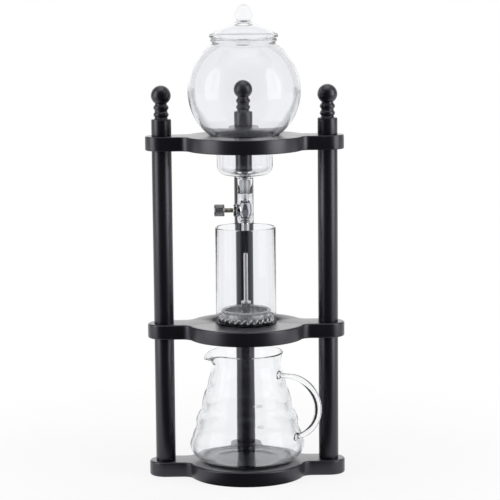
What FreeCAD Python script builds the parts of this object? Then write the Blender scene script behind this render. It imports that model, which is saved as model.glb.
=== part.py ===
"""Cold drip coffee tower: three lacquered shelves on turned posts carry a glass water globe with a
needle valve, a glass coffee cylinder with a spring-edged filter, and a glass carafe.

Millimetres, +Z up. The origin is on the underside of the base shelf, on the drip axis.
+X is to the right and +Y to the back. One STEP file is written for each piece.
"""
import FreeCAD
import Part
import math
import os

Vector = FreeCAD.Vector
UP = Vector(0, 0, 1)
ORIGIN = Vector(0, 0, 0)

# ---- driving dimensions -------------------------------------------------------------------------
# Frame
POST_R = 10.3
POSTS = {"left": (-86.0, 3.0), "right": (86.0, 3.0), "back": (0.0, 84.0)}
DISC_R = 61.5
TAB_R = 17.0
TAB_CORNER_R = 10.5
BASE_T = 15.6
MIDDLE_Z = 146.6
MIDDLE_T = 15.4
TOP_Z = 343.4
TOP_T = 14.8
SOFT_RIM_R = 1.8
CRISP_RIM_R = 1.0
BASE_TOP = BASE_T
MIDDLE_TOP = MIDDLE_Z + MIDDLE_T
TOP_TOP = TOP_Z + TOP_T
FINIAL_HEIGHT = 52.2

# Fasteners in the frame
STUD_R = 3.0
STUD_DEPTH = 18.0
FINIAL_STUD_DEPTH = 13.0
SHELF_HOLE_R = 3.2
THREAD_SLACK = 0.05
SCREW_HEAD_R = 5.5
SCREW_HEAD_T = 3.6
SCREW_SEAT_Z = 4.2
SCREW_HEAD_SLACK = 0.5
SCREW_LENGTH = 34.0
SOCKET_R = 2.9
SOCKET_DEPTH = 2.4

# Water globe and its lid
GLOBE_R = 58.5
GLOBE_Z = 404.5
GLOBE_WALL = 2.2
NECK_R = 33.2
NECK_BORE_R = 31.6
RIM_R = 34.6
RIM_Z = 458.4
CUP_R = 29.0
CUP_FLOOR_Z = 315.8
CUP_CORNER_R = 9.0
SHOULDER_R = 4.0
STEM_R = 8.5
STEM_BORE_R = 6.0
STEM_END_Z = 298.1
GLOBE_HOLE_R = 35.0
GLOBE_SEAT_GAP = 0.3
LID_SKIRT_R = 31.0
LID_WALL = 2.2
LID_FLANGE_R = 35.6
LID_SKIRT_DEPTH = 5.2
LID_KNOB_R = 9.5
LID_KNOB_NECK_R = 6.6
LID_TOP_Z = 492.7

# Drip valve: the spindle lies along -X at VALVE_Z
VALVE_Z = 280.2
SLEEVE_BULGE_R = 9.2
SLEEVE_BULGE_HALF = 10.8
SLEEVE_END_Z = 267.2
SLEEVE_BORE_R = 2.6
PLUG_LENGTH = 14.0
BARREL_TOP_Z = 290.8
BARREL_TOP_R = 5.0
BARREL_R = 7.6
BARREL_END_Z = 270.4
BARREL_END_R = 4.7
COLLAR_R = 5.6
COLLAR_END_Z = 266.8
OUTLET_R = 3.9
OUTLET_END_Z = 256.9
WATER_BORE_R = 1.3
BOSS_R = 4.4
BOSS_OUT = 8.8
NUT_R = 6.5
NUT_IN = 7.9
NUT_OUT = 12.4
SEAL_R = 3.5
SEAL_IN = 7.0
SPINDLE_R = 2.7
SPINDLE_IN = 6.0
SHANK_R = 2.2
NEEDLE_R = 1.9
NEEDLE_TAIL_R = 1.4
NEEDLE_TAIL_LENGTH = 3.0
NEEDLE_TIP = 2.2
RUNNING_GAP = 0.1
KNOB_R = 6.3
KNOB_IN = 21.6
KNOB_OUT = 32.4
KNOB_WEB = 2.0
KNOB_EDGE = 1.0
KNOB_DISH_R = 4.2
KNOB_DISH_DEPTH = 0.6
KNOB_FLUTES = 24
KNOB_FLUTE_DEPTH = 0.5

# Coffee cylinder, seated in the middle shelf
CYLINDER_R = 31.5
CYLINDER_WALL = 2.0
CYLINDER_SEAT_Z = 159.0
CYLINDER_FLOOR_T = 2.4
CYLINDER_RIM_Z = 262.8
CYLINDER_SEAT_R = 32.3
NOZZLE_R = 5.0
NOZZLE_BORE_R = 2.5
NOZZLE_END_Z = 149.0
DRIP_HOLE_R = 8.0

# Filter, pulled out by its rod
FLOOR_Z = CYLINDER_SEAT_Z + CYLINDER_FLOOR_T
CROSS_PLATE_T = 1.2
CROSS_PLATE_R = 20.0
SCREEN_T = 0.5
SCREEN_R = 29.2
DISH_T = 0.8
DISH_R = 24.2
DISH_RIM_R = 25.6
DISH_RIM_Z = 176.2
COIL_OUTER_R = 29.2
COIL_INNER_R = 25.2
COIL_HEIGHT = 6.2
COIL_TURNS = 26
COIL_EDGE = 1.3
COIL_GROOVE = 1.4
DISH_HOLES = 10
DISH_HOLE_R = 2.6
DISH_HOLE_RING_R = 15.5
CROSS_RIM = 3.0
CROSS_ARM = 5.0
CROSS_HUB_R = 6.5
ROD_R = 2.2
ROD_THREAD_R = 1.9
ROD_TOP_Z = 234.2
HUB_R = 6.0
HUB_TOP_Z = 184.5
HUB_THREAD_LENGTH = 3.0
SCREEN_Z = FLOOR_Z + CROSS_PLATE_T
DISH_Z = SCREEN_Z + SCREEN_T
HUB_Z = DISH_Z + DISH_T
ROD_BORE_R = ROD_THREAD_R + THREAD_SLACK

# Carafe
CARAFE_WALL = 2.0
CARAFE_FLOOR_T = 3.0
CARAFE_FOOT_R = 43.0
CARAFE_PUNT_R = 34.0
CARAFE_PUNT_RISE = 1.2
# Radius and height above the foot, up the ribbed wall to the flared rim
CARAFE_SIDE = [(58.2, 10.0), (60.3, 18.0), (57.3, 28.0), (53.6, 37.4), (53.6, 44.0), (51.0, 50.4),
               (47.8, 56.2), (46.8, 64.0), (44.7, 72.0), (41.9, 78.0), (40.4, 85.0), (37.5, 95.5),
               (36.0, 104.0), (36.7, 110.0), (38.4, 115.4)]
CARAFE_RIM_Z = BASE_TOP + CARAFE_SIDE[-1][1]
SPOUT_ANGLE = 192.0
SPOUT_REACH = 44.6
SPOUT_DROP = 5.4
SPOUT_ROOT_R = 13.0
SPOUT_TIP_R = 3.2
SPOUT_WALL = 1.5
HANDLE_ANGLE = -27.0
HANDLE_LOOP_R = 32.4
HANDLE_LOOP_REACH = 49.4
HANDLE_LOOP_Z = 76.2
HANDLE_FOOT_ANGLE = -77.0
HANDLE_SECTIONS = 8
HANDLE_ARM = 18.0
HANDLE_THICK_R = 4.0
HANDLE_THIN_R = 2.5
HANDLE_BLOB_R = 4.5
HANDLE_BLOB_SETBACK = 12.2

PARTS_FOLDER = "parts"


# ---- helpers ------------------------------------------------------------------------------------
def cylinder(radius, bottom, top, x=0.0, y=0.0):
    return Part.makeCylinder(radius, top - bottom, Vector(x, y, bottom))


def turned(start, *steps):
    """Solid of revolution about Z. Points are (radius, height); a step is the next point of a
    straight run, or a pair (point on the way, end point) for an arc."""
    def place(point):
        return Vector(point[0], 0, point[1])

    edges = []
    here = start
    for step in steps + (start,):
        if isinstance(step[0], tuple):
            edges.append(Part.Arc(place(here), place(step[0]), place(step[1])).toShape())
            here = step[1]
        else:
            edges.append(Part.makeLine(place(here), place(step)))
            here = step
    return Part.Face(Part.Wire(edges)).revolve(ORIGIN, UP, 360)


def valve_side(shape):
    """Lay a piece that was turned about Z along the spindle: its height becomes distance along -X."""
    laid = shape.copy()
    laid.rotate(ORIGIN, Vector(0, 1, 0), -90)
    laid.translate(Vector(0, 0, VALVE_Z))
    return laid


def edges_on_level(shape, level):
    return [edge for edge in shape.Edges
            if all(abs(vertex.Z - level) < 0.001 for vertex in edge.Vertexes)
            and abs(edge.CenterOfMass.z - level) < 0.001]


def polar(radius, degrees, height=0.0):
    angle = math.radians(degrees)
    return Vector(radius * math.cos(angle), radius * math.sin(angle), height)


def group(shapes):
    return Part.makeCompound(shapes)


# ---- frame --------------------------------------------------------------------------------------
def shelf_tab(x, y, bottom, thickness):
    """Straight tab from the middle of the board, with a round end about the post at (x, y)."""
    root = Vector(0, y, bottom) if x else Vector(0, 0, bottom)
    length = abs(x) if x else y
    tab = Part.makeBox(length, 2 * TAB_R, thickness, Vector(0, -TAB_R, 0))
    tab = tab.fuse(cylinder(TAB_R, 0, thickness, length, 0))
    tab.rotate(ORIGIN, UP, math.degrees(math.atan2(y - root.y, x)))
    tab.translate(root)
    return tab


def shelf_blank(bottom, thickness, rim_r):
    """Round board with a rounded tab to each post, soft inner corners and eased rims."""
    blank = cylinder(DISC_R, bottom, bottom + thickness)
    for x, y in POSTS.values():
        blank = blank.fuse(shelf_tab(x, y, bottom, thickness))
    blank = blank.removeSplitter()
    corners = [edge for edge in blank.Edges
               if abs(edge.tangentAt(edge.FirstParameter).z) > 0.999
               and abs(math.hypot(edge.CenterOfMass.x, edge.CenterOfMass.y) - DISC_R) < 0.01]
    blank = blank.makeFillet(TAB_CORNER_R, corners)
    rims = edges_on_level(blank, bottom) + edges_on_level(blank, bottom + thickness)
    return blank.makeFillet(rim_r, rims)


def drilled(shape, radius, bottom, top):
    for x, y in POSTS.values():
        shape = shape.cut(cylinder(radius, bottom, top, x, y))
    return shape


def base_shelf():
    shelf = shelf_blank(0, BASE_T, SOFT_RIM_R)
    shelf = drilled(shelf, SHELF_HOLE_R, 0, BASE_T)
    return drilled(shelf, SCREW_HEAD_R + SCREW_HEAD_SLACK, 0, SCREW_SEAT_Z)


def middle_shelf():
    """Has the shallow seat of the coffee cylinder, with the drip hole through it."""
    shelf = shelf_blank(MIDDLE_Z, MIDDLE_T, SOFT_RIM_R)
    shelf = drilled(shelf, SHELF_HOLE_R, MIDDLE_Z, MIDDLE_TOP)
    shelf = shelf.cut(cylinder(CYLINDER_SEAT_R, CYLINDER_SEAT_Z, MIDDLE_TOP))
    return shelf.cut(cylinder(DRIP_HOLE_R, MIDDLE_Z, MIDDLE_TOP))


def globe_touch_height(radius):
    return GLOBE_Z - math.sqrt(GLOBE_R ** 2 - radius ** 2)


def top_shelf():
    """Has the large hole that the globe hangs in, with a conical seat that matches the globe."""
    shelf = shelf_blank(TOP_Z, TOP_T, CRISP_RIM_R)
    shelf = drilled(shelf, SHELF_HOLE_R, TOP_Z, TOP_TOP)
    slope = GLOBE_HOLE_R / math.sqrt(GLOBE_R ** 2 - GLOBE_HOLE_R ** 2)
    seat_z = globe_touch_height(GLOBE_HOLE_R) - GLOBE_SEAT_GAP * math.hypot(1, slope)
    seat_rise = TOP_TOP - seat_z
    seat = Part.makeCone(GLOBE_HOLE_R, GLOBE_HOLE_R + seat_rise / slope, seat_rise,
                         Vector(0, 0, seat_z))
    return shelf.cut(cylinder(GLOBE_HOLE_R, TOP_Z, TOP_TOP)).cut(seat)


def post(x, y, bottom, top, lower_hole, upper_hole):
    body = cylinder(POST_R, bottom, top, x, y)
    hole_r = STUD_R + THREAD_SLACK
    body = body.cut(cylinder(hole_r, bottom, bottom + lower_hole, x, y))
    return body.cut(cylinder(hole_r, top - upper_hole, top, x, y))


def finial(x, y):
    """Collar, two beads and a ball, turned in one piece."""
    z = TOP_TOP
    ball_z = z + FINIAL_HEIGHT - POST_R
    shape = turned((0, z), (POST_R, z), (POST_R, z + 16.7), ((10.0, z + 17.4), (9.2, z + 17.7)),
                   (7.1, z + 17.9), (7.1, z + 19.2), ((8.4, z + 22.1), (6.9, z + 25.1)),
                   (6.8, z + 26.3), ((7.9, z + 29.0), (6.6, z + 31.9)),
                   ((6.2, z + 33.0), (6.8, z + 34.3)), (6.8, ball_z - 4), (0, ball_z - 4))
    shape = shape.fuse(Part.makeSphere(POST_R, Vector(0, 0, ball_z)))
    shape = shape.cut(cylinder(STUD_R + THREAD_SLACK, z, z + FINIAL_STUD_DEPTH))
    shape.translate(Vector(x, y, 0))
    return shape


def base_screws():
    """Socket-head screws, up through the base shelf into the lower posts."""
    head_z = SCREW_SEAT_Z - SCREW_HEAD_T
    screws = []
    for x, y in POSTS.values():
        screw = cylinder(SCREW_HEAD_R, head_z, SCREW_SEAT_Z, x, y)
        screw = screw.fuse(cylinder(STUD_R, SCREW_SEAT_Z, SCREW_SEAT_Z + SCREW_LENGTH, x, y))
        corners = [polar(SOCKET_R, 60 * corner, head_z) + Vector(x, y, 0) for corner in range(7)]
        socket = Part.Face(Part.makePolygon(corners)).extrude(Vector(0, 0, SOCKET_DEPTH))
        screws.append(screw.cut(socket))
    return group(screws)


def studs(shelf_bottom, shelf_top, below, above):
    return group([cylinder(STUD_R, shelf_bottom - below, shelf_top + above, x, y)
                  for x, y in POSTS.values()])


# ---- water globe and lid ------------------------------------------------------------------------
def globe_profile(inset, cup_floor, stem_r, neck_r, rim):
    """Solid bounded by the globe's surface moved inwards by inset, from the stem up to the rim.
    The cup runs into the ball through a hollow fillet centred at (fillet_x, fillet_z)."""
    ball_r = GLOBE_R - inset
    cup_r = CUP_R - inset
    corner_r = CUP_CORNER_R - inset
    fillet_x = CUP_R + SHOULDER_R
    fillet_z = GLOBE_Z - math.sqrt((GLOBE_R + SHOULDER_R) ** 2 - fillet_x ** 2)
    fillet_r = SHOULDER_R + inset
    share = ball_r / (GLOBE_R + SHOULDER_R)
    ball_low = (fillet_x * share, GLOBE_Z - (GLOBE_Z - fillet_z) * share)
    middle = math.pi - math.atan2(GLOBE_Z - fillet_z, fillet_x) / 2
    fillet_mid = (fillet_x + fillet_r * math.cos(middle), fillet_z + fillet_r * math.sin(middle))
    ball_high = (neck_r, GLOBE_Z + math.sqrt(ball_r ** 2 - neck_r ** 2))
    corner_45 = corner_r * math.sqrt(0.5)
    corner_z = cup_floor + corner_r + 1.0
    return turned((0, STEM_END_Z), (stem_r, STEM_END_Z), (stem_r, cup_floor - 3),
                  ((stem_r + 0.9, cup_floor - 0.9), (stem_r + 3, cup_floor)),
                  (cup_r - corner_r, corner_z - corner_r),
                  ((cup_r - corner_r + corner_45, corner_z - corner_45), (cup_r, corner_z)),
                  (cup_r, fillet_z), (fillet_mid, ball_low),
                  ((ball_r, GLOBE_Z), ball_high), *rim)


def water_globe():
    neck_z = RIM_Z - 3.0
    outer = globe_profile(0, CUP_FLOOR_Z, STEM_R, NECK_R,
                          [(NECK_R, neck_z), ((RIM_R, neck_z + 1.5), (NECK_R + 0.4, RIM_Z)), (0, RIM_Z)])
    inner = globe_profile(GLOBE_WALL, CUP_FLOOR_Z + GLOBE_WALL, STEM_BORE_R, NECK_BORE_R,
                          [(NECK_BORE_R, RIM_Z), (0, RIM_Z)])
    return outer.cut(inner)


def globe_lid():
    """Domed lid with a skirt that drops into the neck and a ball to lift it by."""
    skirt_in = LID_SKIRT_R - LID_WALL
    ball_z = LID_TOP_Z - LID_KNOB_R
    z = RIM_Z
    dome = turned((0, z + 14.0), ((18, z + 10.0), (skirt_in, z + 2.6)), (skirt_in, z - LID_SKIRT_DEPTH),
                  (LID_SKIRT_R, z - LID_SKIRT_DEPTH), (LID_SKIRT_R, z), (LID_FLANGE_R - 1.4, z),
                  ((LID_FLANGE_R, z + 3.2), (LID_FLANGE_R - 1.8, z + 6.0)),
                  ((22.0, z + 13.2), (LID_KNOB_NECK_R + 1.0, z + 16.6)),
                  ((LID_KNOB_NECK_R, z + 18.0), (LID_KNOB_NECK_R + 0.4, z + 19.2)),
                  (LID_KNOB_NECK_R, ball_z), (0, ball_z))
    return dome.fuse(Part.makeSphere(LID_KNOB_R, Vector(0, 0, ball_z)))


# ---- drip valve ---------------------------------------------------------------------------------
def barrel_solid(grow=0):
    """The egg-shaped valve body with its collar and outlet tube, grown by a small allowance."""
    return turned((0, BARREL_TOP_Z), (BARREL_TOP_R + grow, BARREL_TOP_Z),
                  ((BARREL_R + grow, VALVE_Z), (BARREL_END_R + grow, BARREL_END_Z)),
                  (COLLAR_R + grow, BARREL_END_Z - 1.4), (COLLAR_R + grow, COLLAR_END_Z),
                  (OUTLET_R + grow, COLLAR_END_Z), (OUTLET_R + grow, OUTLET_END_Z), (0, OUTLET_END_Z))


def valve_sleeve():
    """Clear silicone sleeve: a plug in the globe's stem above, and a pocket round the valve body."""
    top = STEM_END_Z + PLUG_LENGTH
    plug_r = STEM_BORE_R - 0.1
    sleeve = turned((0, top), (plug_r - 0.8, top), (plug_r, top - 0.8), (plug_r, STEM_END_Z),
                    (STEM_R, STEM_END_Z), (STEM_R, VALVE_Z + SLEEVE_BULGE_HALF),
                    ((SLEEVE_BULGE_R, VALVE_Z), (STEM_R, VALVE_Z - SLEEVE_BULGE_HALF)),
                    (STEM_R, SLEEVE_END_Z), (0, SLEEVE_END_Z))
    sleeve = sleeve.cut(barrel_solid(grow=THREAD_SLACK))
    sleeve = sleeve.cut(cylinder(SLEEVE_BORE_R, BARREL_TOP_Z, top))
    sleeve = sleeve.cut(valve_side(cylinder(BOSS_R + 0.1, 3.0, NUT_OUT)))
    return sleeve.cut(valve_side(cylinder(NUT_R + 0.4, NUT_IN, NUT_OUT)))


def valve_body():
    body = barrel_solid()
    body = body.fuse(valve_side(cylinder(BOSS_R, 1.0, BOSS_OUT)))
    body = body.cut(cylinder(WATER_BORE_R, OUTLET_END_Z, BARREL_TOP_Z))
    tip = -NEEDLE_TIP - 0.6
    needle_bore = NEEDLE_R + RUNNING_GAP
    spindle_bore = SPINDLE_R + RUNNING_GAP
    seal_bore = SEAL_R + THREAD_SLACK
    chamber = turned((0, tip), (0.4, tip), (needle_bore, -0.3), (needle_bore, SPINDLE_IN - 0.6),
                     (spindle_bore, SPINDLE_IN - 0.6), (spindle_bore, SEAL_IN), (seal_bore, SEAL_IN),
                     (seal_bore, BOSS_OUT), (0, BOSS_OUT))
    return body.cut(valve_side(chamber))


def gland_nut():
    """Cap nut on the side boss that presses the seal round the spindle."""
    edge = 0.6
    bore = SPINDLE_R + RUNNING_GAP
    nut = turned((BOSS_R + THREAD_SLACK, NUT_IN), (NUT_R - edge, NUT_IN), (NUT_R, NUT_IN + edge),
                 (NUT_R, NUT_OUT - edge), (NUT_R - edge, NUT_OUT), (bore, NUT_OUT), (bore, BOSS_OUT),
                 (BOSS_R + THREAD_SLACK, BOSS_OUT))
    return valve_side(nut)


def spindle_seal():
    bore = SPINDLE_R + RUNNING_GAP
    return valve_side(turned((bore, SEAL_IN), (SEAL_R, SEAL_IN), (SEAL_R, BOSS_OUT), (bore, BOSS_OUT)))


def valve_needle():
    """Tapered needle that closes the water bore; its tail turns freely in the spindle."""
    tail_end = SPINDLE_IN + NEEDLE_TAIL_LENGTH - RUNNING_GAP
    needle = turned((0, -NEEDLE_TIP), (0.3, -NEEDLE_TIP), (NEEDLE_R, -0.2), (NEEDLE_R, SPINDLE_IN - 0.1),
                    (NEEDLE_TAIL_R, SPINDLE_IN - 0.1), (NEEDLE_TAIL_R, tail_end), (0, tail_end))
    return valve_side(needle)


def valve_spindle():
    """Rod with a socket for the needle's tail, and a thinner shank that the knob is pressed on."""
    socket_r = NEEDLE_TAIL_R + RUNNING_GAP
    socket_end = SPINDLE_IN + NEEDLE_TAIL_LENGTH
    shank_end = KNOB_OUT - KNOB_WEB
    spindle = turned((socket_r, SPINDLE_IN), (SPINDLE_R, SPINDLE_IN), (SPINDLE_R, KNOB_IN),
                     (SHANK_R, KNOB_IN), (SHANK_R, shank_end), (0, shank_end),
                     (0, socket_end), (socket_r, socket_end))
    return valve_side(spindle)


def flow_knob():
    """Fluted knob with chamfered ends and a shallow dish in its face."""
    bore = SHANK_R + THREAD_SLACK
    face = KNOB_OUT - KNOB_DISH_DEPTH
    knob = turned((bore, KNOB_IN), (KNOB_R - KNOB_EDGE, KNOB_IN), (KNOB_R, KNOB_IN + KNOB_EDGE),
                  (KNOB_R, KNOB_OUT - KNOB_EDGE), (KNOB_R - KNOB_EDGE, KNOB_OUT), (KNOB_DISH_R, KNOB_OUT),
                  (KNOB_DISH_R - KNOB_DISH_DEPTH, face), (0, face), (0, KNOB_OUT - KNOB_WEB),
                  (bore, KNOB_OUT - KNOB_WEB))
    root = Vector(KNOB_R - KNOB_FLUTE_DEPTH, 0, KNOB_IN)
    groove = Part.makePolygon([root, root + Vector(1.5, -1, 0), root + Vector(1.5, 1, 0), root])
    cutter = Part.Face(groove).extrude(Vector(0, 0, KNOB_OUT - KNOB_IN))
    for flute in range(KNOB_FLUTES):
        turned_cutter = cutter.copy()
        turned_cutter.rotate(ORIGIN, UP, 360 * flute / KNOB_FLUTES)
        knob = knob.cut(turned_cutter)
    return valve_side(knob)


# ---- coffee cylinder and filter -----------------------------------------------------------------
def coffee_cylinder():
    """Straight glass tube with a flat floor and a drip nozzle that reaches into the shelf."""
    inner_r = CYLINDER_R - CYLINDER_WALL
    rim_mid = CYLINDER_R - CYLINDER_WALL / 2
    foot_r = 2.0
    return turned((NOZZLE_BORE_R, NOZZLE_END_Z), (NOZZLE_R - 0.8, NOZZLE_END_Z),
                  (NOZZLE_R, NOZZLE_END_Z + 0.8), (NOZZLE_R, CYLINDER_SEAT_Z),
                  (CYLINDER_R - foot_r, CYLINDER_SEAT_Z),
                  ((CYLINDER_R - 0.3 * foot_r, CYLINDER_SEAT_Z + 0.3 * foot_r),
                   (CYLINDER_R, CYLINDER_SEAT_Z + foot_r)),
                  (CYLINDER_R, CYLINDER_RIM_Z - 1),
                  ((rim_mid, CYLINDER_RIM_Z), (inner_r, CYLINDER_RIM_Z - 1)),
                  (inner_r, FLOOR_Z), (NOZZLE_BORE_R, FLOOR_Z))


def cross_plate():
    """Round plate with four windows and a centre boss that the rod screws into."""
    plate = cylinder(CROSS_PLATE_R, FLOOR_Z, SCREEN_Z)
    windows = cylinder(CROSS_PLATE_R - CROSS_RIM, FLOOR_Z, SCREEN_Z)
    windows = windows.cut(cylinder(CROSS_HUB_R, FLOOR_Z, SCREEN_Z))
    for turn in (0, 90):
        corner = Vector(-CROSS_PLATE_R, -CROSS_ARM / 2, FLOOR_Z)
        arm = Part.makeBox(2 * CROSS_PLATE_R, CROSS_ARM, CROSS_PLATE_T, corner)
        arm.rotate(ORIGIN, UP, turn)
        windows = windows.cut(arm)
    return plate.cut(windows).cut(cylinder(ROD_BORE_R, FLOOR_Z, SCREEN_Z))


def filter_screen():
    return cylinder(SCREEN_R, SCREEN_Z, DISH_Z).cut(cylinder(ROD_BORE_R, SCREEN_Z, DISH_Z))


def spring_dish():
    """Perforated dish whose raised wall holds the coil out against the glass."""
    dish = turned((ROD_BORE_R, DISH_Z), (DISH_R, DISH_Z), (DISH_RIM_R, DISH_RIM_Z - 0.5),
                  ((DISH_RIM_R - DISH_T / 2, DISH_RIM_Z), (DISH_RIM_R - DISH_T, DISH_RIM_Z - 0.5)),
                  (DISH_R - DISH_T, HUB_Z), (ROD_BORE_R, HUB_Z))
    for hole in range(DISH_HOLES):
        spot = polar(DISH_HOLE_RING_R, 360 * hole / DISH_HOLES)
        dish = dish.cut(cylinder(DISH_HOLE_R, DISH_Z, HUB_Z, spot.x, spot.y))
    return dish


def filter_coil():
    """Coil spring bent to a ring: a groove parts each turn from the next round the outside."""
    top = DISH_Z + COIL_HEIGHT
    ring = turned((COIL_INNER_R, DISH_Z + COIL_EDGE), (COIL_INNER_R + COIL_EDGE, DISH_Z),
                  (COIL_OUTER_R - COIL_EDGE, DISH_Z), (COIL_OUTER_R, DISH_Z + COIL_EDGE),
                  (COIL_OUTER_R, top - COIL_EDGE), (COIL_OUTER_R - COIL_EDGE, top),
                  (COIL_INNER_R + COIL_EDGE, top), (COIL_INNER_R, top - COIL_EDGE))
    grooves = []
    for turn in range(COIL_TURNS):
        angle = 360 * turn / COIL_TURNS
        corner = Vector(-COIL_GROOVE / 2, -COIL_GROOVE / 2, DISH_Z)
        groove = Part.makeBox(COIL_GROOVE, COIL_GROOVE, COIL_HEIGHT, corner)
        groove.rotate(ORIGIN, UP, 45 + angle)
        groove.translate(polar(COIL_OUTER_R + 0.1, angle))
        grooves.append(groove)
    return ring.cut(grooves)


def filter_hub():
    """Tulip-shaped nut that clamps the dish and screen."""
    step = HUB_Z + HUB_THREAD_LENGTH
    rod_r = ROD_R + THREAD_SLACK
    return turned((ROD_BORE_R, HUB_Z), (HUB_R, HUB_Z), (HUB_R, HUB_Z + 1.2),
                  ((3.7, HUB_Z + 4.0), (3.6, HUB_Z + 9.0)),
                  ((4.1, HUB_Z + 14.0), (5.2, HUB_TOP_Z - 2.2)),
                  ((5.0, HUB_TOP_Z - 0.5), (3.4, HUB_TOP_Z)),
                  (rod_r, HUB_TOP_Z), (rod_r, step), (ROD_BORE_R, step))


def filter_rod():
    """Pull rod with a rounded top and a thinner threaded foot in the hub and the cross plate."""
    foot = FLOOR_Z + 0.1
    step = HUB_Z + HUB_THREAD_LENGTH
    return turned((0, foot), (ROD_THREAD_R, foot), (ROD_THREAD_R, step), (ROD_R, step),
                  (ROD_R, ROD_TOP_Z - 1.4), ((ROD_R - 0.5, ROD_TOP_Z - 0.4), (ROD_R - 1.4, ROD_TOP_Z)),
                  (0, ROD_TOP_Z))


# ---- carafe -------------------------------------------------------------------------------------
def carafe_solid(inset, floor):
    """Solid under a smooth curve up the ribbed side, moved inwards by inset."""
    side = [Vector(r - inset, 0, BASE_TOP + rise) for r, rise in CARAFE_SIDE]
    foot = Vector(CARAFE_FOOT_R - inset, 0, floor)
    flat_out = Vector(1, 0, 0.06)
    flared_up = Vector(0.5, 0, 1)
    curve = Part.BSplineCurve()
    curve.interpolate([foot] + side, InitialTangent=flat_out, FinalTangent=flared_up, Scale=False)
    centre_low = Vector(0, 0, floor)
    centre_high = Vector(0, 0, CARAFE_RIM_Z)
    edges = [Part.makeLine(centre_low, foot), curve.toShape(),
             Part.makeLine(side[-1], centre_high), Part.makeLine(centre_high, centre_low)]
    return Part.Face(Part.Wire(edges)).revolve(ORIGIN, UP, 360)


def spout_cone(inset):
    """Cone from inside the neck out to the tip of the lip, moved inwards by inset."""
    root = polar(29.0, SPOUT_ANGLE, CARAFE_RIM_Z - 9.5)
    tip = polar(SPOUT_REACH + inset, SPOUT_ANGLE, CARAFE_RIM_Z - 4.2)
    return Part.makeCone(SPOUT_ROOT_R - inset, SPOUT_TIP_R - inset / 2, (tip - root).Length, root, tip - root)


def carafe_body():
    """Blown glass jug with a short lip pulled out of its rim for pouring and a foot pushed up a little."""
    above_lip = Part.makeBox(60, 60, 20, Vector(0, -30, 0))
    lip_start = 34.0
    lip_slope = math.atan2(SPOUT_DROP, SPOUT_REACH - lip_start)
    above_lip.rotate(ORIGIN, Vector(0, 1, 0), math.degrees(lip_slope))
    above_lip.translate(Vector(lip_start + 1.0, 0, CARAFE_RIM_Z))
    above_lip.rotate(ORIGIN, UP, SPOUT_ANGLE)
    above_rim = Part.makeBox(200, 200, 20, Vector(-100, -100, CARAFE_RIM_Z))
    lip = spout_cone(0).cut(above_lip).cut(above_rim)
    cavity = carafe_solid(CARAFE_WALL, BASE_TOP + CARAFE_FLOOR_T)
    punt = turned((0, BASE_TOP), (CARAFE_PUNT_R, BASE_TOP), (0, BASE_TOP + CARAFE_PUNT_RISE))
    return carafe_solid(0, BASE_TOP).fuse(lip).cut([cavity, spout_cone(SPOUT_WALL), punt])


def carafe_handle():
    """Open loop of glass rod, thickest where the fingers hold it and fused to the side at both ends."""
    def on_loop(degrees):
        angle = math.radians(degrees)
        return Vector(HANDLE_LOOP_REACH + HANDLE_LOOP_R * math.cos(angle), 0,
                      HANDLE_LOOP_Z + HANDLE_LOOP_R * math.sin(angle))

    sections = []
    for step in range(HANDLE_SECTIONS + 1):
        share = step / HANDLE_SECTIONS
        degrees = HANDLE_FOOT_ANGLE + (90 - HANDLE_FOOT_ANGLE) * share
        radius = HANDLE_THIN_R + (HANDLE_THICK_R - HANDLE_THIN_R) * math.sin(math.pi * share)
        along = Vector(-math.sin(math.radians(degrees)), 0, math.cos(math.radians(degrees)))
        sections.append(Part.Wire(Part.makeCircle(radius, on_loop(degrees), along)))
    loop = Part.makeLoft(sections, True)
    loop_top = on_loop(90)
    arm = Part.makeCylinder(HANDLE_THIN_R, HANDLE_ARM, loop_top, Vector(-1, 0, 0))
    blob_high = Part.makeSphere(HANDLE_BLOB_R, loop_top - Vector(HANDLE_BLOB_SETBACK, 0, 0))
    blob_low = Part.makeSphere(HANDLE_BLOB_R, on_loop(HANDLE_FOOT_ANGLE))
    handle = loop.fuse([arm, blob_high, blob_low])
    handle.rotate(ORIGIN, UP, HANDLE_ANGLE)
    return handle.cut(carafe_solid(0, BASE_TOP))


# ---- assembly -----------------------------------------------------------------------------------
def frame_pieces():
    pieces = {"base_shelf": base_shelf(), "middle_shelf": middle_shelf(), "top_shelf": top_shelf(),
              "base_screws": base_screws(),
              "middle_studs": studs(MIDDLE_Z, MIDDLE_TOP, STUD_DEPTH, STUD_DEPTH),
              "top_studs": studs(TOP_Z, TOP_TOP, STUD_DEPTH, FINIAL_STUD_DEPTH)}
    screw_hole = SCREW_SEAT_Z + SCREW_LENGTH - BASE_TOP + 2
    for side, (x, y) in POSTS.items():
        pieces["lower_post_" + side] = post(x, y, BASE_TOP, MIDDLE_Z, screw_hole, STUD_DEPTH)
        pieces["upper_post_" + side] = post(x, y, MIDDLE_TOP, TOP_Z, STUD_DEPTH, STUD_DEPTH)
        pieces["finial_" + side] = finial(x, y)
    return pieces


def vessel_pieces():
    return {"water_globe": water_globe(), "globe_lid": globe_lid(), "valve_sleeve": valve_sleeve(),
            "valve_body": valve_body(), "gland_nut": gland_nut(), "spindle_seal": spindle_seal(),
            "valve_needle": valve_needle(), "valve_spindle": valve_spindle(), "flow_knob": flow_knob(),
            "coffee_cylinder": coffee_cylinder(), "filter_cross_plate": cross_plate(),
            "filter_screen": filter_screen(), "filter_dish": spring_dish(), "filter_coil": filter_coil(),
            "filter_hub": filter_hub(), "filter_rod": filter_rod(),
            "carafe_body": carafe_body(), "carafe_handle": carafe_handle()}


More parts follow.
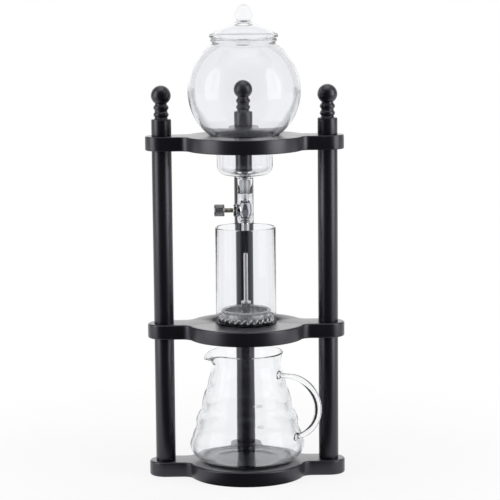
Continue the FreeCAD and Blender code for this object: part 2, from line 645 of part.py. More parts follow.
def main():
    os.makedirs(PARTS_FOLDER, exist_ok=True)
    pieces = frame_pieces()
    pieces.update(vessel_pieces())
    for name, shape in pieces.items():
        shape.exportStep(os.path.join(PARTS_FOLDER, name + ".step"))
        print("%-20s solids %d  valid %s  volume %.1f cm3"
              % (name, len(shape.Solids), shape.isValid(), shape.Volume / 1000))


main()
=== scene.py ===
# %% [markdown]
# # A cold drip coffee tower
#
# Water drips from a lidded glass globe, through a needle valve, onto ground coffee in a glass cylinder,
# and on through a metal filter into a glass carafe. A black lacquered stand of three shelves holds it all.
#
# The construction comes from the CAD frame. This script dresses it: every visible part gets a smooth,
# detailed mesh on the same axes and levels, and a finish made of shader nodes.

# %% Load the frame
import math

import bmesh
import bpy
from mathutils import Matrix, Vector


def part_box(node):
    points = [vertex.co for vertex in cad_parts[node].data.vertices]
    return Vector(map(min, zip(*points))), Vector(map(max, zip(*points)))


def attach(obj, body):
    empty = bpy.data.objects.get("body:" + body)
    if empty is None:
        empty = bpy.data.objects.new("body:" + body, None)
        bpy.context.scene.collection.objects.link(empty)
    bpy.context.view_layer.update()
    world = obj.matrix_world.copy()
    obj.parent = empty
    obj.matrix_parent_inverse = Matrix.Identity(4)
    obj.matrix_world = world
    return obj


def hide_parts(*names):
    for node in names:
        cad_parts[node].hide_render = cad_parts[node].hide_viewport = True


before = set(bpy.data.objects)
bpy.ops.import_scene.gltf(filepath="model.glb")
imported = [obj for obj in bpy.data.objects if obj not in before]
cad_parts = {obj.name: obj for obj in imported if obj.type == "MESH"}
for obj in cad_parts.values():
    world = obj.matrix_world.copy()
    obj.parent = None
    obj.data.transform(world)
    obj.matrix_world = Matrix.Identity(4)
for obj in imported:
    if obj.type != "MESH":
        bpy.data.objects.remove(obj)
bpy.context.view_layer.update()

MM = 0.001

# %% [markdown]
# ## Levels from the frame
#
# Every vessel and every post is a turned form, so three numbers place it: its largest radius, its lowest
# level and its highest level. They are read from the CAD nodes, in millimetres, and never typed twice.

# %% Measure a node
def reach(node):
    """Half width along Y, lowest level and highest level of a CAD node, in millimetres."""
    low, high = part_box(node)
    return (high.y - low.y) / 2 / MM, low.z / MM, high.z / MM


def middle(node):
    """Where a node stands on the floor plan, in millimetres."""
    low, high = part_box(node)
    return (low.x + high.x) / 2 / MM, (low.y + high.y) / 2 / MM


SIDES = ("left", "right", "back")
POSTS = {side: middle("upper_post_" + side) for side in SIDES}
GLOBE_R, STEM_END, RIM_Z = reach("water_globe")
print("posts at", {side: [round(v, 1) for v in POSTS[side]] for side in SIDES})
print("globe radius %.1f mm, from %.1f to %.1f mm" % (GLOBE_R, STEM_END, RIM_Z))

# %% [markdown]
# ## The camera
#
# A product shot from far off with a long lens: the camera stands 2.2 m away, half a metre up, and looks
# down by eight degrees, so the shelves show as thin ellipses and the posts stay nearly upright.

# %% Camera
CAMERA_PLACE = Vector((-0.0337, -2.2000, 0.5565))
CAMERA_YAW = 0.0174
CAMERA_PITCH = 0.1436
CAMERA_ROLL = -0.0090
FOCAL_PIXELS = 2134.0
FRAME_PIXELS = 500
SENSOR = 36.0


def linked(name, data):
    """A new object, linked into the scene."""
    made = bpy.data.objects.new(name, data)
    bpy.context.scene.collection.objects.link(made)
    return made


def place_camera():
    data = bpy.data.cameras.new("camera")
    data.sensor_width = SENSOR
    data.lens = FOCAL_PIXELS / FRAME_PIXELS * SENSOR
    data.clip_end = 50
    camera = linked("camera", data)
    forward = Vector((math.sin(CAMERA_YAW) * math.cos(CAMERA_PITCH),
                      math.cos(CAMERA_YAW) * math.cos(CAMERA_PITCH),
                      -math.sin(CAMERA_PITCH)))
    turn = forward.to_track_quat("-Z", "Y") @ Matrix.Rotation(CAMERA_ROLL, 3, "Z").to_quaternion()
    camera.matrix_world = Matrix.LocRotScale(CAMERA_PLACE, turn, None)
    bpy.context.scene.camera = camera
    return camera


camera = place_camera()
print("lens %.1f mm at %.2f m" % (camera.data.lens, camera.location.length))

# %% [markdown]
# ## Shader maths as Python
#
# A finish is a small network of nodes. Writing each node by hand hides the idea, so one class wraps a
# socket and lets Python's own operators add the Math nodes: `1 - mask * 0.3` is then three nodes.

# %% A socket that can be added, multiplied and so on
class Wire:
    """An output socket in a node tree, for use in expressions."""

    def __init__(self, tree, socket):
        self.tree = tree
        self.socket = socket

    def maths(self, operation, first, second=None):
        node = self.tree.nodes.new("ShaderNodeMath")
        node.operation = operation
        for slot, value in zip(node.inputs, (first, second)):
            if isinstance(value, Wire):
                self.tree.links.new(value.socket, slot)
            elif value is not None:
                slot.default_value = value
        return Wire(self.tree, node.outputs[0])

    def __add__(self, other):
        return self.maths("ADD", self, other)

    def __sub__(self, other):
        return self.maths("SUBTRACT", self, other)

    def __rsub__(self, other):
        return self.maths("SUBTRACT", other, self)

    def __mul__(self, other):
        return self.maths("MULTIPLY", self, other)

    def __truediv__(self, other):
        return self.maths("DIVIDE", self, other)

    __radd__ = __add__
    __rmul__ = __mul__

    def sine(self):
        return self.maths("SINE", self)

    def size(self):
        return self.maths("ABSOLUTE", self)

    def above(self, limit):
        return self.maths("GREATER_THAN", self, limit)

    def larger(self, other):
        return self.maths("MAXIMUM", self, other)


# %% A node tree that adds any node in one call
class Finish:
    """A node tree with one method that adds a node: its settings first, then its sockets."""

    def __init__(self, tree):
        self.tree = tree

    def node(self, kind, settings=(), output=0, **sockets):
        made = self.tree.nodes.new("ShaderNode" + kind)
        for name, value in dict(settings).items():
            if name == "stops":
                ramp = made.color_ramp
                while len(ramp.elements) < len(value):
                    ramp.elements.new(1.0)
                for element, (position, colour) in zip(ramp.elements, value):
                    element.position = position
                    element.color = (*colour, 1.0)
            else:
                setattr(made, name, value)
        for name, value in sockets.items():
            self.feed(made, name, value)
        return Wire(self.tree, made.outputs[output])

    def feed(self, node, name, value):
        """Set or link one input. A name is the socket's own, with _ for a space, or in_0, in_1 ..."""
        slot = node.inputs[int(name[3:])] if name.startswith("in_") else node.inputs[name.replace("_", " ")]
        if isinstance(value, Wire):
            self.tree.links.new(value.socket, slot)
        else:
            slot.default_value = value

    def ramp(self, value, low, high, **ends):
        """Smooth step from 0 to 1, or from To_Min to To_Max, while value goes from low to high."""
        return self.node("MapRange", {"interpolation_type": "SMOOTHSTEP"}, Value=value,
                         From_Min=low, From_Max=high, **ends)

    def axis(self, name, place):
        """One coordinate of a place or a direction."""
        return self.node("SeparateXYZ", output=name, Vector=place)


class Material(Finish):
    """A new material around one Principled shader."""

    def __init__(self, name, **sockets):
        self.material = bpy.data.materials.new(name)
        self.material.use_nodes = True
        super().__init__(self.material.node_tree)
        self.shader = self.tree.nodes["Principled BSDF"]
        self.place = self.node("TexCoord", output="Object")
        self.set(**sockets)

    def set(self, **sockets):
        for name, value in sockets.items():
            self.feed(self.shader, name, value)

    def noise(self, scale, detail=2.0, stretch=(1, 1, 1)):
        """Soft random value between 0 and 1, with its grain drawn out along the small numbers."""
        where = self.node("Mapping", Vector=self.place, Scale=stretch)
        return self.node("TexNoise", Vector=where, Scale=scale, Detail=detail)

    def blend(self, factor, dark, light):
        """Colour between two, as factor goes from 0 to 1."""
        return self.node("ValToRGB", {"stops": [(0.0, dark), (1.0, light)]}, Fac=factor)

    def dent(self, height, depth):
        """Bump of a real depth in metres."""
        self.set(Normal=self.node("Bump", Height=height, Distance=depth, Strength=1.0))


print("helpers ready")

# %% [markdown]
# ## Black lacquer on wood
#
# The stand is turned and routed from wood and sprayed with black satin lacquer. Black paint is never
# zero, so the base is a very dark grey with a touch of blue. What the eye reads is its soft reflection,
# so the work goes into roughness: a fine orange peel from the spray and faint drawn-out grain below it.
# Grain runs along the board on shelves and along the post on posts.

# %% Lacquer
def lacquer(name, grain):
    made = Material(name, IOR=1.5, Specular_IOR_Level=0.5, Specular_Tint=(0.84, 0.84, 1.0, 1.0),
                    Coat_Roughness=0.28, Coat_Weight=0.4)
    cloud = made.noise(14.0, 3.0)
    fibres = made.noise(420.0, 4.0, grain)
    peel = made.noise(1500.0, 1.0)
    made.set(Base_Color=made.blend(cloud, (0.0050, 0.0047, 0.0068), (0.0078, 0.0073, 0.0100)),
             Roughness=0.32 + cloud * 0.05 + fibres * 0.05)
    made.dent(fibres * 0.7 + peel * 0.3, 0.00003)
    return made.material


SHELF_LACQUER = lacquer("shelf_lacquer", (0.06, 1.0, 1.0))
POST_LACQUER = lacquer("post_lacquer", (1.0, 1.0, 0.05))
print("lacquers:", SHELF_LACQUER.name, POST_LACQUER.name)

# %% [markdown]
# ## Glass
#
# Lab-grade glass is colourless, and its outline is all that gives it away. The walls here are real, with an
# inner and an outer surface, so they bend light by themselves. The darker rim is painted shade: Layer Weight
# darkens the base colour towards the outline, standing in for the dark surroundings that real glass reflects
# and bends there; only a small part of it is the light that the longer path through the glass drinks. A very
# slow ripple keeps the blown pieces from looking machined. Real glass has an IOR of 1.47. Some pieces get less,
# which keeps the lines at their edges fine, and a grey Specular Tint keeps the lamps from covering those lines.

# %% Clear glass
def glass(name, ripple, rim, body, lip=1.0, bend=1.47):
    """Clear glass with a painted shade at its outline, which fades out above the height called lip, in metres.
    """
    made = Material(name, Transmission_Weight=1.0, IOR=bend, Roughness=0.0,
                    Specular_Tint=(0.6, 0.6, 0.62, 1.0))
    facing = made.node("LayerWeight", output="Facing", Blend=0.5)
    below = made.ramp(made.axis("Z", made.place), lip, lip + 0.004, To_Min=1.0, To_Max=0.2)
    # Painted shade: the base colour goes from the body colour to the rim colour towards the outline, and mostly
    # fades above lip.
    made.set(Base_Color=made.node("ValToRGB", {"stops": [(0.0, body), (0.60, body), (0.80, rim)]},
                                  Fac=facing * below))
    made.dent(made.noise(38.0, 1.0), ripple)
    return made.material


CLEAR = (0.965, 0.970, 0.980)
# The colour before each body colour is the painted shade at that glass's outline.
BLOWN_GLASS = glass("blown_glass", 0.00030, (0.55, 0.56, 0.60), (0.930, 0.933, 0.948), lip=0.452)
SERVER_GLASS = glass("server_glass", 0.00030, (0.58, 0.59, 0.63), CLEAR, lip=0.110, bend=1.36)
TUBE_GLASS = glass("tube_glass", 0.00008, (0.84, 0.845, 0.88), (0.935, 0.940, 0.955), bend=1.30)
PRESSED_GLASS = glass("pressed_glass", 0.00012, (0.90, 0.905, 0.92), (0.945, 0.950, 0.965), bend=1.24)
ROD_GLASS = glass("rod_glass", 0.00010, (0.36, 0.37, 0.42), CLEAR)
print("glasses:", BLOWN_GLASS.name, TUBE_GLASS.name, ROD_GLASS.name)

# %% [markdown]
# ## Metals and rubbers
#
# Metal shows its surroundings, so a metal finish is mostly a roughness and a faint texture: chrome is
# nearly a mirror, drawn steel has fine lines along it, and zinc is dull and blotchy. The sleeve round
# the valve is silicone: clear, but softer and a little milky beside glass.

# %% Metals
def metal(name, colour, roughness, grain=(1, 1, 1), depth=0.000004):
    made = Material(name, Metallic=1.0)
    lines = made.noise(900.0, 3.0, grain)
    cloud = made.noise(60.0, 2.0)
    dim = tuple(channel * 0.82 for channel in colour)
    made.set(Base_Color=made.blend(cloud, dim, colour), Roughness=roughness * 0.8 + lines * roughness * 0.4)
    made.dent(lines, depth)
    return made.material


CHROME = metal("chrome_plate", (0.82, 0.82, 0.84), 0.06)
KNURLED_NICKEL = metal("knurled_nickel", (0.34, 0.34, 0.35), 0.26)
WARM_STEEL = metal("threaded_steel", (0.60, 0.58, 0.52), 0.22)
DRAWN_STEEL = metal("drawn_steel", (0.74, 0.74, 0.74), 0.13, (1.0, 1.0, 0.05))
ROD_STEEL = metal("rod_steel", (0.90, 0.90, 0.91), 0.36, (1.0, 1.0, 0.05))
SPRING_STEEL = metal("spring_steel", (0.94, 0.94, 0.95), 0.20)
ZINC = metal("zinc_plate", (0.56, 0.57, 0.60), 0.42)
print("metals:", CHROME.name, DRAWN_STEEL.name, SPRING_STEEL.name)


# %% Silicone, rubber and the printed marks
def silicone(name, frost_from):
    """Clear rubber, which turns milky above the height called frost_from, in metres."""
    made = Material(name, Transmission_Weight=1.0, IOR=1.25)
    haze = made.noise(160.0, 2.0)
    frost = made.ramp(made.axis("Z", made.place), frost_from, frost_from + 0.003)
    made.set(Base_Color=made.blend(haze, (0.82, 0.83, 0.85), (0.88, 0.89, 0.91)),
             Roughness=0.02 + haze * 0.02 + frost * 0.42)
    return made.material


def matt(name, dark, light, roughness):
    made = Material(name)
    speck = made.noise(700.0, 3.0)
    made.set(Base_Color=made.blend(speck, dark, light), Roughness=roughness + speck * 0.1)
    return made.material


CLEAR_SILICONE = silicone("clear_silicone", 0.2905)
BLACK_RUBBER = matt("seal_rubber", (0.012, 0.012, 0.012), (0.03, 0.03, 0.03), 0.6)
MARK_INK = matt("mark_ink", (0.36, 0.37, 0.39), (0.46, 0.47, 0.49), 0.5)
print("soft finishes:", CLEAR_SILICONE.name, BLACK_RUBBER.name, MARK_INK.name)


# %% [markdown]
# ## Woven mesh
#
# The dish of the filter is cut from woven stainless cloth with about 1.5 mm between wires. Modelling each
# wire would cost a million faces for something that reads as a grey veil, so the weave is a pattern: two
# families of sine waves, one round the dish and one up its wall, give the wires, their roundness and the
# holes between them. The flat screen has the same weave, but lies in the shade of the dish and the spring,
# so its steel is made much darker.

# %% Woven steel
WEAVE_PITCH = 1.5 * MM
WEAVE_MEAN_R = 24.0 * MM
WIRE_FROM = 0.55


def woven(name, dark, light):
    made = Material(name, Metallic=1.0)
    x, y, z = (made.axis(letter, made.place) for letter in ("X", "Y", "Z"))
    angle = made.node("Math", {"operation": "ARCTAN2"}, in_0=y, in_1=x)
    rings = made.node("VectorMath", {"operation": "LENGTH"}, output="Value", in_0=made.place)
    half_turn = math.pi / WEAVE_PITCH
    across = (angle * (WEAVE_MEAN_R * half_turn)).sine().size()
    along = (z * half_turn + rings * half_turn).sine().size()
    wire = across.larger(along)
    made.set(Base_Color=made.blend(made.noise(260.0, 3.0), dark, light),
             Roughness=0.34 - wire * 0.1, Alpha=wire.above(WIRE_FROM))
    made.dent(wire, 0.00012)
    return made.material


WOVEN_STEEL = woven("woven_steel", (0.30, 0.30, 0.31), (0.86, 0.86, 0.88))
DARK_SCREEN = woven("dark_screen", (0.06, 0.06, 0.06), (0.20, 0.20, 0.21))
print("weaves:", WOVEN_STEEL.name, DARK_SCREEN.name)

# %% [markdown]
# ## Turning a part
#
# Nearly everything on the tower is turned, so the main tool is a lathe: draw half the section as points
# of (radius, height) in millimetres, then spin that line once round. A line that comes back to its start
# makes a closed wall, and one whose ends lie on the axis makes a solid. Two helpers draw the curved
# stretches of a section: an arc, and a smooth curve through a few points.

# %% Section helpers
ROUND = 128


def arc(centre, radius, start, end, steps=8):
    """Points on an arc, with angles in degrees from the direction that points outwards."""
    angles = [math.radians(start + (end - start) * step / steps) for step in range(steps + 1)]
    return [(centre[0] + radius * math.cos(a), centre[1] + radius * math.sin(a)) for a in angles]


def through(points, steps=6):
    """A smooth curve through a few points, with a tangent at each point along its neighbours."""
    knots = [Vector(point) for point in points]
    padded = [knots[0] * 2 - knots[1]] + knots + [knots[-1] * 2 - knots[-2]]
    curve = []
    for before, start, end, after in zip(padded, padded[1:], padded[2:], padded[3:]):
        for step in range(steps):
            t = step / steps
            pull_start = (end - before) / 2
            pull_end = (after - start) / 2
            curve.append(start * (2 * t ** 3 - 3 * t ** 2 + 1) + pull_start * (t ** 3 - 2 * t ** 2 + t)
                         + end * (3 * t ** 2 - 2 * t ** 3) + pull_end * (t ** 3 - t ** 2))
    return [tuple(point) for point in curve] + [tuple(points[-1])]


# %% The lathe
def spun(section, steps=ROUND, closed=False):
    """A bmesh of a section turned once about Z. Points are (radius, height) in millimetres."""
    bm = bmesh.new()
    points = [bm.verts.new((radius * MM, 0, height * MM)) for radius, height in section]
    lines = [bm.edges.new(pair) for pair in zip(points, points[1:])]
    if closed:
        lines.append(bm.edges.new((points[-1], points[0])))
    bmesh.ops.spin(bm, geom=points + lines, cent=(0, 0, 0), axis=(0, 0, 1), angle=math.tau,
                   steps=steps, use_merge=True)
    bmesh.ops.remove_doubles(bm, verts=bm.verts, dist=0.0001 * MM)
    bmesh.ops.recalc_face_normals(bm, faces=bm.faces)
    return bm


def shifted(bm, x=0.0, y=0.0, z=0.0):
    bmesh.ops.translate(bm, verts=bm.verts, vec=(x * MM, y * MM, z * MM))
    return bm


# %% From a mesh to a piece that rides on its body
def meshed(bm, name):
    """Hand a bmesh over to a new mesh."""
    mesh = bpy.data.meshes.new(name)
    bm.to_mesh(mesh)
    bm.free()
    return mesh


def finished(mesh, material):
    """Give a mesh one material in place of any it had."""
    mesh.materials.clear()
    mesh.materials.append(material)


def piece(bm, name, body, material, nodes=(), crease=32):
    """Turn a bmesh into a smooth-shaded piece that stands for the given CAD nodes."""
    return dressed(meshed(bm, name), name, body, material, nodes, crease)


def dressed(mesh, name, body, material, nodes=(), crease=32):
    made = linked(name, mesh)
    finished(mesh, material)
    mesh.shade_smooth()
    mesh.set_sharp_from_angle(angle=math.radians(crease))
    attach(made, body)
    if nodes:
        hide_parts(*nodes)
    print("%-22s %6d faces on %s" % (name, len(mesh.polygons), body))
    return made


# %% [markdown]
# ## Shelves and hidden steel
#
# The shelves and fasteners already have their exact shape in CAD. A CAD mesh is loose triangles, so a
# copy is welded first. Then only edges that are sharp on the real board stay sharp.

# %% Welded copies
def welded(node, name, body, material, crease=32):
    bm = bmesh.new()
    bm.from_mesh(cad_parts[node].data)
    bmesh.ops.remove_doubles(bm, verts=bm.verts, dist=0.001 * MM)
    return piece(bm, name, body, material, [node], crease)


for level in ("base", "middle", "top"):
    welded(level + "_shelf", "lacquered_" + level + "_board", "stand", SHELF_LACQUER)
welded("base_screws", "socket_screws", "stand", ZINC)
for node in ("middle_studs", "top_studs"):
    finished(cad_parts[node].data, ZINC)

# %% [markdown]
# ## Posts and finials
#
# A post is a plain rod whose ends are eased by the sander. A finial is the showpiece of the wood lathe:
# a collar as thick as the post, a cove, two beads and a ball. Both are sections for the lathe.

# %% Posts
POST_EASE = 0.5


def turned_post(level, side):
    radius, low, high = reach("%s_post_%s" % (level, side))
    section = [(0, low)] + arc((radius - POST_EASE, low + POST_EASE), POST_EASE, -90, 0, 4)
    section += arc((radius - POST_EASE, high - POST_EASE), POST_EASE, 0, 90, 4) + [(0, high)]
    bm = shifted(spun(section, 96), *POSTS[side])
    return piece(bm, "turned_%s_post_%s" % (level, side), "stand", POST_LACQUER,
                 ["%s_post_%s" % (level, side)])


for side in SIDES:
    turned_post("lower", side)
    turned_post("upper", side)

# %% Finials
COLLAR_HEIGHT = 16.7
BEAD_R = 7.9
NECK_R = 6.5
LOWER_BEAD_RISE, LOWER_BEAD_ROUND = 5.4, 3.3
UPPER_BEAD_RISE, UPPER_BEAD_ROUND = 12.6, 3.2


def turned_finial(side):
    radius, low, high = reach("finial_" + side)
    top = low + COLLAR_HEIGHT
    section = [(0, low)] + arc((radius - POST_EASE, low + POST_EASE), POST_EASE, -90, 0, 4)
    section += arc((radius - 0.8, top - 0.1), 0.8, 0, 90, 5) + [(7.5, top + 0.9), (7.1, top + 1.6)]
    section += arc((BEAD_R - LOWER_BEAD_ROUND, top + LOWER_BEAD_RISE), LOWER_BEAD_ROUND, -55, 55, 10)
    section += [(NECK_R, top + 8.5), (NECK_R + 0.3, top + 9.2), (NECK_R, top + 9.7)]
    section += arc((BEAD_R - UPPER_BEAD_ROUND, top + UPPER_BEAD_RISE), UPPER_BEAD_ROUND, -50, 50, 10)
    section += [(NECK_R - 0.3, top + 15.9), (NECK_R - 0.4, top + 17.0)]
    ball_z = high - radius
    section += arc((0, ball_z), radius, -52, 90, 26)
    bm = shifted(spun(section, 96), *POSTS[side])
    return piece(bm, "turned_finial_" + side, "stand", POST_LACQUER,
                 ["finial_" + side], crease=60)


for side in SIDES:
    turned_finial(side)

# %% [markdown]
# ## The water globe
#
# One blown form: a ball with a short neck, a cup below that hangs through the top shelf, and a stem that
# takes the valve. The outer and the inner surface are drawn as one closed line, 2.2 mm apart, so the
# spin gives a real wall with a rounded rim.

# %% Globe
GLOBE_CENTRE = 404.5
GLOBE_WALL = 2.2
NECK_OUT = 33.2
CUP_R = 29.0
CUP_FLOOR = 315.8
CUP_CORNER = 10.0
STEM_R = 8.0
STEM_BORE = 6.0


def globe_side(inset):
    """The section from the stem up to the neck, moved into the glass by inset."""
    ball = GLOBE_R - inset
    cup = CUP_R - inset
    corner = CUP_CORNER - inset
    stem = STEM_R if inset == 0 else STEM_BORE
    floor = CUP_FLOOR + inset
    meet = math.degrees(math.acos((CUP_R + 2.6) / GLOBE_R))
    neck = math.degrees(math.acos((NECK_OUT - 0.6) / GLOBE_R))
    funnel = through([(stem, floor - 4.0), (stem + 0.5, floor - 2.0), (stem + 3.4, floor + 0.2),
                      (cup - corner, floor + 1.4)], 5)
    bowl = arc((cup - corner, floor + 1.4 + corner), corner, -84, 0, 10)
    shoulder_z = GLOBE_CENTRE - GLOBE_R * math.sin(math.radians(meet)) - 3.4
    return funnel + bowl + [(cup, shoulder_z)] + arc((0, GLOBE_CENTRE), ball, -meet, neck, 40)


def blown_globe():
    outer = globe_side(0)
    inner = globe_side(GLOBE_WALL)
    neck_in = NECK_OUT - 2.0
    rim = [(NECK_OUT, RIM_Z - 3.4)] + arc((NECK_OUT - 0.2, RIM_Z - 1.6), 1.6, -60, 90, 8)
    rim += arc((neck_in + 0.6, RIM_Z - 0.6), 0.6, 90, 180, 3) + [(neck_in, RIM_Z - 5.0)]
    foot = [(STEM_BORE, STEM_END + 0.5), (STEM_BORE + 0.5, STEM_END), (STEM_R - 0.6, STEM_END),
            (STEM_R, STEM_END + 0.6)]
    section = foot + outer + rim + inner[::-1]
    return piece(spun(section, closed=True), "blown_globe", "globe", BLOWN_GLASS,
                 ["water_globe"], crease=70)


blown_globe()

# %% [markdown]
# ## The lid
#
# A shallow pressed dome with a skirt that drops into the neck. Its knob is a solid ball of glass, which
# works as a lens. Both come from one closed section.

# %% Lid
LID_KNOB_R = 9.5
LID_SKIRT = 31.0


def pressed_lid():
    radius, low, high = reach("globe_lid")
    seat = RIM_Z
    ball_z = high - LID_KNOB_R
    skirt_in = LID_SKIRT - 2.2
    under = through([(0, seat + 12.6), (10, seat + 11.6), (20, seat + 8.4), (skirt_in, seat + 2.2)], 6)
    skirt = [(skirt_in, low + 0.8)] + arc((skirt_in + 1.1, low + 0.8), 0.8, 180, 360, 6)
    skirt += [(LID_SKIRT, seat - 0.6), (LID_SKIRT + 0.5, seat + 0.05)]
    flange = [(radius - 2.4, seat + 0.05)] + arc((radius - 2.6, seat + 2.8), 2.6, -80, 78, 12)
    dome = through([(radius - 2.6, seat + 5.6), (27.0, seat + 10.2), (17.0, seat + 14.4),
                    (9.4, seat + 16.5), (7.0, seat + 18.2), (6.7, seat + 20.0)], 6)
    start = -math.degrees(math.acos(6.7 / LID_KNOB_R))
    ball = arc((0, ball_z), LID_KNOB_R, start, 90, 24)
    section = under + skirt + flange + dome + ball
    return piece(spun(section), "pressed_lid", "lid", PRESSED_GLASS, ["globe_lid"], crease=70)


pressed_lid()

# %% [markdown]
# ## The drip valve
#
# A clear silicone sleeve plugs into the glass stem and grips an egg-shaped chromed valve. Its side boss
# carries a gland nut, and the threaded spindle ends in a knurled knob. These small pieces lie along -X,
# so each is turned about Z like the others and then laid over.

# %% Laying a piece along the spindle
VALVE_Z = sum(reach("flow_knob")[1:]) / 2
NUT_OUT = -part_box("gland_nut")[0].x / MM
KNOB_IN = -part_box("flow_knob")[1].x / MM
KNOB_OUT = -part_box("flow_knob")[0].x / MM


def laid(bm):
    """Turn a piece from upright to pointing along -X at the height of the valve."""
    bmesh.ops.rotate(bm, verts=bm.verts, cent=(0, 0, 0), matrix=Matrix.Rotation(-math.pi / 2, 3, "Y"))
    return shifted(bm, z=VALVE_Z)


def joined(first, *others):
    """Add the meshes of the other bmeshes to the first."""
    for other in others:
        mesh = meshed(other, "loose")
        first.from_mesh(mesh)
        bpy.data.meshes.remove(mesh)
    return first


print("valve at %.1f mm, knob from %.1f to %.1f mm" % (VALVE_Z, KNOB_IN, KNOB_OUT))

# %% Valve body
BARREL = [(4.9, 10.6), (6.4, 7.4), (7.4, 3.0), (7.6, 0.0), (7.3, -3.4), (6.2, -7.0), (4.7, -9.8)]
COLLAR_R = 5.6
OUTLET_R = 3.9
OUTLET_BORE = 2.6
BOSS_R, BOSS_OUT = 4.4, 8.6


def valve_barrel():
    low = reach("valve_body")[1]
    collar = VALVE_Z - 11.2
    side = through([(r, VALVE_Z + h) for r, h in BARREL], 6)
    section = [(0, VALVE_Z + 8.6), (1.4, VALVE_Z + 8.6), (1.6, VALVE_Z + 10.2), (4.4, VALVE_Z + 10.6)] + side
    section += arc((COLLAR_R - 0.5, collar), 0.5, 60, 0, 3)
    section += arc((COLLAR_R - 0.5, collar - 1.7), 0.5, 0, -90, 3)
    section += [(OUTLET_R, VALVE_Z - 13.4), (OUTLET_R, low + 0.5), (OUTLET_R - 0.5, low), (OUTLET_BORE, low),
                (OUTLET_BORE, low + 8.0), (0, low + 8.0)]
    boss = laid(spun([(0, 3.0), (BOSS_R, 3.0), (BOSS_R, BOSS_OUT), (0, BOSS_OUT)], 64))
    return piece(joined(spun(section), boss), "valve_barrel", "globe", CHROME, ["valve_body"])


valve_barrel()


# %% Gland nut with a straight knurl
def knurled(section, steps, teeth, depth, crossed=0.0, levels=(0.0, 0.0)):
    """Turn a section and press grooves into its outside. crossed makes the diamonds of a cross knurl."""
    bm = spun(section, steps)
    outer = max(radius for radius, _ in section) * MM
    for vert in bm.verts:
        radius = math.hypot(vert.co.x, vert.co.y)
        if radius > outer - 0.05 * MM and levels[0] * MM < vert.co.z < levels[1] * MM:
            turn = math.atan2(vert.co.y, vert.co.x) * teeth
            lean = vert.co.z / MM * crossed
            groove = min(abs(math.sin((turn + lean) / 2)), abs(math.sin((turn - lean) / 2)))
            shrink = 1 - depth * MM * (1 - groove) / radius
            vert.co.x *= shrink
            vert.co.y *= shrink
    return bm


NUT_TEETH = 36
NUT_GROOVE = 0.5
SPINDLE_HOLE_R = 2.85


def gland_nut():
    radius = reach("gland_nut")[0]
    start = -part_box("gland_nut")[1].x / MM
    rows = [start + 0.8 + 0.4 * row for row in range(8)]
    section = [(SPINDLE_HOLE_R, start), (radius - 0.7, start)] + [(radius, row) for row in rows]
    section += [(radius - 0.7, NUT_OUT), (4.0, NUT_OUT), (3.6, NUT_OUT - 0.5),
                (SPINDLE_HOLE_R, NUT_OUT - 0.5), (SPINDLE_HOLE_R, start)]
    bm = knurled(section, 180, NUT_TEETH, NUT_GROOVE, levels=(start + 0.9, NUT_OUT - 0.9))
    return piece(laid(bm), "knurled_gland_nut", "globe", CHROME, ["gland_nut"], crease=40)


gland_nut()

# %% [markdown]
# ### Spindle and knob
#
# The thread is a real helix. A small triangle is spun round the rod while it also moves along it, which
# is what a cutter does in a lathe. The knob's cross knurl is two families of slanted grooves pressed into
# a finely divided cylinder, which leaves a field of small diamonds.

# %% Spindle with its thread
THREAD_PITCH = 0.8
THREAD_R = 2.7
THREAD_DEPTH = 0.45
THREAD_STEPS = 32


def threaded_spindle():
    core = THREAD_R - THREAD_DEPTH
    inner = -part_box("valve_spindle")[1].x / MM
    rod = spun([(0, inner), (core, inner), (core, KNOB_OUT - 3), (0, KNOB_OUT - 3)], 48)
    thread = bmesh.new()
    start = NUT_OUT - 1.0
    turns = int((KNOB_IN - start) / THREAD_PITCH)
    corners = [(core - 0.1, start), (THREAD_R, start + THREAD_PITCH * 0.45),
               (core - 0.1, start + THREAD_PITCH * 0.9)]
    tooth = [thread.verts.new((r * MM, 0, z * MM)) for r, z in corners]
    face = thread.faces.new(tooth)
    bmesh.ops.spin(thread, geom=tooth + list(face.edges) + [face], cent=(0, 0, 0), axis=(0, 0, 1),
                   angle=math.tau * turns, steps=THREAD_STEPS * turns,
                   dvec=(0, 0, THREAD_PITCH * MM / THREAD_STEPS))
    bmesh.ops.recalc_face_normals(thread, faces=thread.faces)
    return piece(laid(joined(rod, thread)), "threaded_spindle", "knob", WARM_STEEL, ["valve_spindle"])


threaded_spindle()

# %% Knob with its cross knurl
KNURL_TEETH = 18
KNURL_DEPTH = 0.9
KNURL_LEAN = 3.6
KNURL_ROW = 0.2


def knurled_knob():
    radius = reach("flow_knob")[0]
    count = int((KNOB_OUT - KNOB_IN - 2) / KNURL_ROW) + 1
    section = [(0, KNOB_IN), (3.4, KNOB_IN), (radius - 0.8, KNOB_IN), (radius - 0.1, KNOB_IN + 0.6)]
    section += [(radius, KNOB_IN + 1.0 + KNURL_ROW * row) for row in range(count)]
    section += [(radius - 0.1, KNOB_OUT - 0.6), (radius - 0.8, KNOB_OUT), (4.3, KNOB_OUT),
                (3.7, KNOB_OUT - 0.6), (0, KNOB_OUT - 0.6)]
    bm = knurled(section, 240, KNURL_TEETH, KNURL_DEPTH, crossed=KNURL_LEAN,
                 levels=(KNOB_IN + 1.1, KNOB_OUT - 1.1))
    return piece(laid(bm), "knurled_knob", "knob", KNURLED_NICKEL, ["flow_knob"], crease=40)


knurled_knob()

# %% [markdown]
# ### The silicone sleeve
#
# A plug above, a pocket round the egg below, and a hole in the side for the boss. The sleeve is turned,
# and a round cutter opens the side with a Boolean, as a punch would.

# %% Sleeve
SLEEVE_BULGE = 8.5
SLEEVE_BORE = 2.6
SLEEVE_SLACK = 0.15
HOLE_R = 7.0


def settled(made):
    """A new mesh of an object, as its modifiers or its curve settings leave it."""
    bpy.context.view_layer.update()
    return bpy.data.meshes.new_from_object(made.evaluated_get(bpy.context.evaluated_depsgraph_get()))


